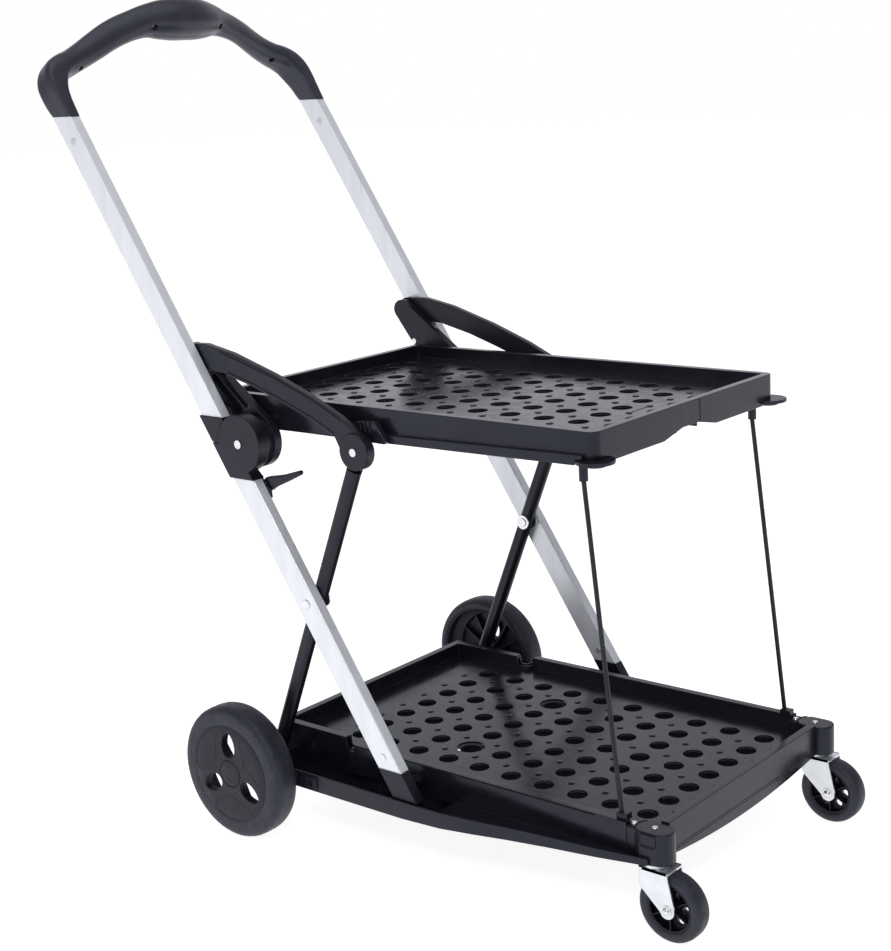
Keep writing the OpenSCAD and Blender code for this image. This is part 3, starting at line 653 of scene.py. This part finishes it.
def make_fork(side, s):
    """Pressed fork: one bent strip round the back of the wheel and a flat lid; axle bolt and tyre."""
    track = [(x, -FORK_OUT, 0, -1) for x in FORK_STATIONS]
    for k in range(1, 7):
        turn = radians(90 * k / 6)
        track.append((FORK_REAR + FORK_CORNER - FORK_CORNER * sin(turn),
                      -FORK_OUT + FORK_CORNER - FORK_CORNER * cos(turn), -sin(turn), -cos(turn)))
    track += [(x, -y, out_x, -out_y) for x, y, out_x, out_y in reversed(track)]
    sections = []
    for x, y, out_x, out_y in track:
        low, high = fork_edges(x)
        inner_x, inner_y = x - out_x * FORK_WALL, y - out_y * FORK_WALL
        sections.append([place(x, s * CASTER_Y + y, low), place(x, s * CASTER_Y + y, high),
                         place(inner_x, s * CASTER_Y + inner_y, high),
                         place(inner_x, s * CASTER_Y + inner_y, low)])
    bm = bmesh.new()
    loft(bm, sections)
    loft(bm, [[place(x, s * CASTER_Y + y, z) for x, y in FORK_LID] for z in (FORK_PLATE, FORK_TOP)])
    fork = add_object(f"fork_{side}", mesh_from(bm, f"fork_{side}", 30), f"caster_swivel_{side}",
                      "zinc_steel")
    soften(fork, 0.5, 40)
    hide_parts(f"caster_fork_{side}")

    bm = bmesh.new()
    for facing in (-1, 1):
        lathe(bm, BOLT_PROFILE, frame_at(caster_axle(s), (0, facing, 0)), 32)
    bolt = add_object(f"axle_bolt_{side}", mesh_from(bm, f"axle_bolt_{side}"), f"caster_swivel_{side}",
                      "bright_steel")
    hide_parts(f"caster_axle_{side}")

    bm = bmesh.new()
    lathe(bm, CASTER_TYRE + CASTER_TYRE[:1], frame_at(caster_axle(s), (0, 1, 0)), 96)
    tyre = add_object(f"small_tyre_{side}", mesh_from(bm, f"small_tyre_{side}", 60), f"caster_wheel_{side}",
                      "tyre_rubber")
    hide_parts(f"caster_tyre_{side}")


for side, s in SIDES.items():
    make_fork(side, s)

# ---------------------------------------------------------------- deck floors

HOLE_PITCH_X = 48.43
HOLE_PITCH_Y = 43.17
UPPER_FLOOR = 538
LOWER_FLOOR = 107
# first hole, columns, floor height, body, depth of the collars under the holes
DECK_GRIDS = {"upper": (-13, 11, UPPER_FLOOR, "deck", 9),
              "lower": (94.8, 10, LOWER_FLOOR, "lower_frame", 13)}
# inner and outer radius of a collar, its radius at the foot, and its top under the floor's surface
COLLAR = (12.1, 13.6, 13.2, -3.1)
NUB_PROFILE = [(0, 1.3), (2.2, 1.2), (3.5, 0.95), (4.3, 0.5), (4.5, 0), (4.5, -0.8), (0, -0.8)]


def make_floor_nubs(name, first, columns, floor, body):
    """Low round grip nubs between the holes."""
    bm = bmesh.new()
    for i in range(-1, columns):
        for j in range(-3, 3):
            at = place(first + (i + 0.5) * HOLE_PITCH_X, (j + 0.5) * HOLE_PITCH_Y, floor)
            lathe(bm, NUB_PROFILE, Matrix.Translation(at), 20)
    add_object(f"floor_nubs_{name}", mesh_from(bm, f"floor_nubs_{name}"), body, "deck_plastic")


def make_hole_collars(name, first, columns, floor, body, depth):
    """Short collars under the floor, one round each hole, in near-black plastic: painted shade inside the
    holes.
    """
    bm = bmesh.new()
    inner, outer, foot, top = COLLAR
    profile = [(inner, top), (outer, top), (foot, -depth), (inner, -depth), (inner, top)]
    for i in range(columns):
        for j in range(-3, 4):
            at = place(first + i * HOLE_PITCH_X, j * HOLE_PITCH_Y, floor)
            lathe(bm, profile, Matrix.Translation(at), 32)
    # the collars take the near-black plastic, painted shade seen down the holes
    add_object(f"hole_collars_{name}", mesh_from(bm, f"hole_collars_{name}"), body, "deck_plastic",
               "painted_hole_shade")


for name, (*grid, depth) in DECK_GRIDS.items():
    make_floor_nubs(name, *grid)
    make_hole_collars(name, *grid, depth)

# ---------------------------------------------------------------- small mouldings

# outlines are (x, z) points; the stop lug's sides and its ribs' are distances from the middle
STOP_LUG = [(188, 524), (188, 535), (191, 539.5), (218, 541), (224, 532), (234, 519), (231, 515.5),
            (205, 516)]
LUG_SIDES = (193.9, 201.5)
LUG_RIBS = (196, 203, 210)
RIB_WIDTH = 1.6
RIB_ENDS = (528, 540.6)
RIB_SIDES = (201.4, 203.2)
SLIT_X = (11.2, 447)
SLIT_HALF = 19
APRON_X = 582.05
APRON_HALF = 156
APRON_LINES = (87.0, 89.8)
RIDGE_ENDS = (140, 500)
RIDGE_AT = (190.6, 121.4)
ARC_START = 18
ARC_RADII = (22, 13)
ARC_AT = (180.4, 121)
# place along the cart and width of small teeth on the tray's side walls, their ends and sides
RIM_TEETH = [(40, 3), (66, 5), (84, 3), (96, 6)]
TOOTH_ENDS = (121.5, 124.6)
TOOTH_SIDES = (177.5, 180.6)
LEVER_SIDES = (204.3, 212)
LEVER_OUTLINE = [(37.5, 446), (38, 455.5), (43, 458.5), (70, 463.5), (98.5, 472), (101, 470.5),
                 (100.5, 466.8), (80, 457), (58, 447.5), (48, 441), (41, 441)]


def upright(x, width, ends):
    """Outline of an upright rectangle."""
    low, high = ends
    return [(x, low), (x, high), (x + width, high), (x + width, low)]


def bead(bm, points, radius, normal):
    """Thin raised line through points given in millimetres."""
    tube_along(bm, [place(*point) for point in points], radius, Vector(normal), sides=6)


def make_stop_lugs():
    """Stops on the upper deck's rails, above the tops of the legs."""
    for side, s in SIDES.items():
        bm = bmesh.new()
        plate(bm, STOP_LUG, *LUG_SIDES, s)
        for x in LUG_RIBS:
            plate(bm, upright(x, RIB_WIDTH, RIB_ENDS), *RIB_SIDES, s)
        lug = add_object(f"stop_lug_{side}", mesh_from(bm, f"stop_lug_{side}", 25), "deck", "deck_plastic")
        soften(lug, 0.8)


def make_lever():
    """Release lever: one tapering paddle."""
    bm = bmesh.new()
    plate(bm, LEVER_OUTLINE, *LEVER_SIDES, SIDES["near"])
    lever = add_object("lever_paddle", mesh_from(bm, "lever_paddle", 25), "lever", "frame_plastic")
    soften(lever, 1.4, 20)
    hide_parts("release_lever")


def make_apron_lines():
    """Two fine moulded lines along the lower deck's apron."""
    bm = bmesh.new()
    for z in APRON_LINES:
        bead(bm, [(APRON_X, y, z) for y in range(-APRON_HALF, APRON_HALF + 1, 12)], 0.5, (1, 0, 0))
    add_object("apron_lines", mesh_from(bm, "apron_lines", 80), "lower_frame", "deck_plastic")


def make_painted_slit_shade():
    """Fine slits across the upper floor between two pairs of holes, drawn as low near-black strips: painted
    shade standing in for the gap of each slit.
    """
    bm = bmesh.new()
    for x in SLIT_X:
        bead(bm, [(x, y, UPPER_FLOOR + 0.05) for y in range(-SLIT_HALF, SLIT_HALF + 1, 2)], 0.4, (0, 0, 1))
    # the near-black hub plastic here is painted shade inside the slits
    add_object("painted_slit_shade", mesh_from(bm, "painted_slit_shade", 80), "deck", "deck_plastic", "hub_plastic_and_slit_shade")


def make_channel_ridges():
    """Ridges along the lower tray's side walls, an arc near the back of each, and small teeth."""
    first, last = RIDGE_ENDS
    long_radius, drop = ARC_RADII
    for side, s in SIDES.items():
        bm = bmesh.new()
        bead(bm, [(x, s * RIDGE_AT[0], RIDGE_AT[1]) for x in range(first, last + 1, 20)], 0.7, (0, s, 0))
        bead(bm, [(ARC_START + long_radius * (1 - cos(pi * k / 12)), s * ARC_AT[0],
                   ARC_AT[1] - drop * sin(pi * k / 12)) for k in range(13)], 0.6, (0, s, 0))
        for x, width in RIM_TEETH:
            plate(bm, upright(x, width, TOOTH_ENDS), *TOOTH_SIDES, s)
        add_object(f"channel_ridges_{side}", mesh_from(bm, f"channel_ridges_{side}", 60), "lower_frame",
                   "deck_plastic")


make_stop_lugs()
make_lever()
make_apron_lines()
make_painted_slit_shade()
make_channel_ridges()

# ---------------------------------------------------------------- CAD nodes

# width of the rounded edges, by slot and then for single nodes
BEVELS = {"deck_plastic": 0.9, "frame_plastic": 0.9, "tube_aluminium": 1.8, "bright_steel": 0.35,
          "zinc_steel": 0.5, "wheel_plastic": 0.6, "tyre_rubber": 1.5, "leg_steel": 0.4,
          "grip_plastic": 1.0, "cord_rubber": 0.4}
NODE_BEVELS = {"upper_deck": 0.7, "lower_deck": 0.7, "side_clips": 0.35, "corner_discs": 0.6,
               "corner_post_near": 1.6, "corner_post_far": 1.6, "leg_rollers": 0.4, "lever_pin": 0.4}
# nodes whose flat faces stay in pieces, because their many holes and ribs don't merge cleanly
UNMERGED = ("upper_deck", "lower_deck", "arm_near", "arm_far")
LOOKS = {"caster_hub_near": "hub_plastic_and_slit_shade", "caster_hub_far": "hub_plastic_and_slit_shade"}


def finish_node(node, slot):
    """Clean a carried-over node's facets, round its edges and give it its material."""
    item = frame["nodes"][node]
    look = MATERIALS[LOOKS.get(node, slot)]
    for holder in item.material_slots:
        holder.material = look
    if not item.material_slots:
        item.data.materials.append(look)
    if "custom_normal" in item.data.attributes:
        item.data.attributes.remove(item.data.attributes["custom_normal"])
    for face in item.data.polygons:
        face.use_smooth = True
    weld = item.modifiers.new("weld", "WELD")
    weld.merge_threshold = 2e-6
    if node not in UNMERGED:
        merge = item.modifiers.new("merge", "DECIMATE")
        merge.decimate_type = "DISSOLVE"
        merge.angle_limit = radians(0.6)
    edge = item.modifiers.new("edge", "BEVEL")
    edge.width = NODE_BEVELS.get(node, BEVELS[slot]) * MM
    edge.segments = 2
    edge.limit_method = "ANGLE"
    edge.angle_limit = radians(32)
    edge.use_clamp_overlap = False
    shade = item.modifiers.new("shade", "WEIGHTED_NORMAL")
    shade.mode = "FACE_AREA"
    shade.weight = 90


for part in frame["record"]["subparts"]:
    finish_node(part["node"], part["material_slot"])

# ---------------------------------------------------------------- floor and light

# strength of the surrounding light on the viewer's side and behind the cart
WORLD_FRONT = 0.33
WORLD_BEHIND = 0.95
BEHIND_START = 0.35
FLOOR_GLOW = 0.88
# place and target in metres, width and height, power
LIGHTS = {"overhead": ((0.2, -0.3, 3.2), (0, 0, 0.4), (2.6, 2.2), 20),
          "near_side": ((-1.5, -3.0, 1.3), (0, 0, 0.5), (2.0, 1.6), 8),
          "key": ((1.65, -2.0, 2.1), (0, 0, 0.5), (0.5, 0.5), 22)}


def make_floor():
    """White floor that hardly shows its edge."""
    bm = bmesh.new()
    bmesh.ops.create_grid(bm, x_segments=1, y_segments=1, size=20)
    floor = bpy.data.objects.new("floor", mesh_from(bm, "floor"))
    bpy.context.scene.collection.objects.link(floor)
    finish = Finish("floor", 0.9, specular=0.1)
    finish.set("Base Color", finish.colours(finish.noise(900, 2), (0.55, 0.55, 0.55), (0.58, 0.58, 0.58)))
    finish.shader.inputs["Emission Color"].default_value = (1, 1, 1, 1)
    finish.shader.inputs["Emission Strength"].default_value = FLOOR_GLOW
    floor.data.materials.append(finish.material)


def area_light(name, at, aim, size, power):
    """Rectangular lamp turned to its target."""
    data = bpy.data.lights.new(name, "AREA")
    data.shape = "RECTANGLE"
    data.size, data.size_y = size
    data.energy = power
    lamp = bpy.data.objects.new(name, data)
    direction = Vector(aim) - Vector(at)
    lamp.matrix_world = Matrix.Translation(at) @ direction.to_track_quat("-Z", "Y").to_matrix().to_4x4()
    bpy.context.scene.collection.objects.link(lamp)


def make_world():
    """White surroundings that light the cart more from behind than from the viewer's side."""
    world = bpy.data.worlds.new("studio")
    world.use_nodes = True
    nodes, links = world.node_tree.nodes, world.node_tree.links
    seen = nodes["Background"]
    seen.inputs["Color"].default_value = (1, 1, 1, 1)
    seen.inputs["Strength"].default_value = 1.0
    lit = nodes.new("ShaderNodeBackground")
    lit.inputs["Color"].default_value = (0.955, 0.965, 1.02, 1)
    facing = nodes.new("ShaderNodeVectorMath")
    facing.operation = "DOT_PRODUCT"
    facing.inputs[1].default_value = (-sin(VIEW_AZIMUTH), cos(VIEW_AZIMUTH), 0)
    links.new(nodes.new("ShaderNodeTexCoord").outputs["Generated"], facing.inputs[0])
    level = nodes.new("ShaderNodeMapRange")
    level.inputs["From Min"].default_value = BEHIND_START
    level.inputs["To Min"].default_value = WORLD_FRONT
    level.inputs["To Max"].default_value = WORLD_BEHIND
    links.new(facing.outputs["Value"], level.inputs["Value"])
    links.new(level.outputs["Result"], lit.inputs["Strength"])
    mix = nodes.new("ShaderNodeMixShader")
    links.new(nodes.new("ShaderNodeLightPath").outputs["Is Camera Ray"], mix.inputs["Fac"])
    links.new(lit.outputs["Background"], mix.inputs[1])
    links.new(seen.outputs["Background"], mix.inputs[2])
    links.new(mix.outputs["Shader"], nodes["World Output"].inputs["Surface"])
    bpy.context.scene.world = world
    bpy.context.scene.view_settings.view_transform = "Standard"


make_floor()
make_world()
for name, light in LIGHTS.items():
    area_light(name, *light)
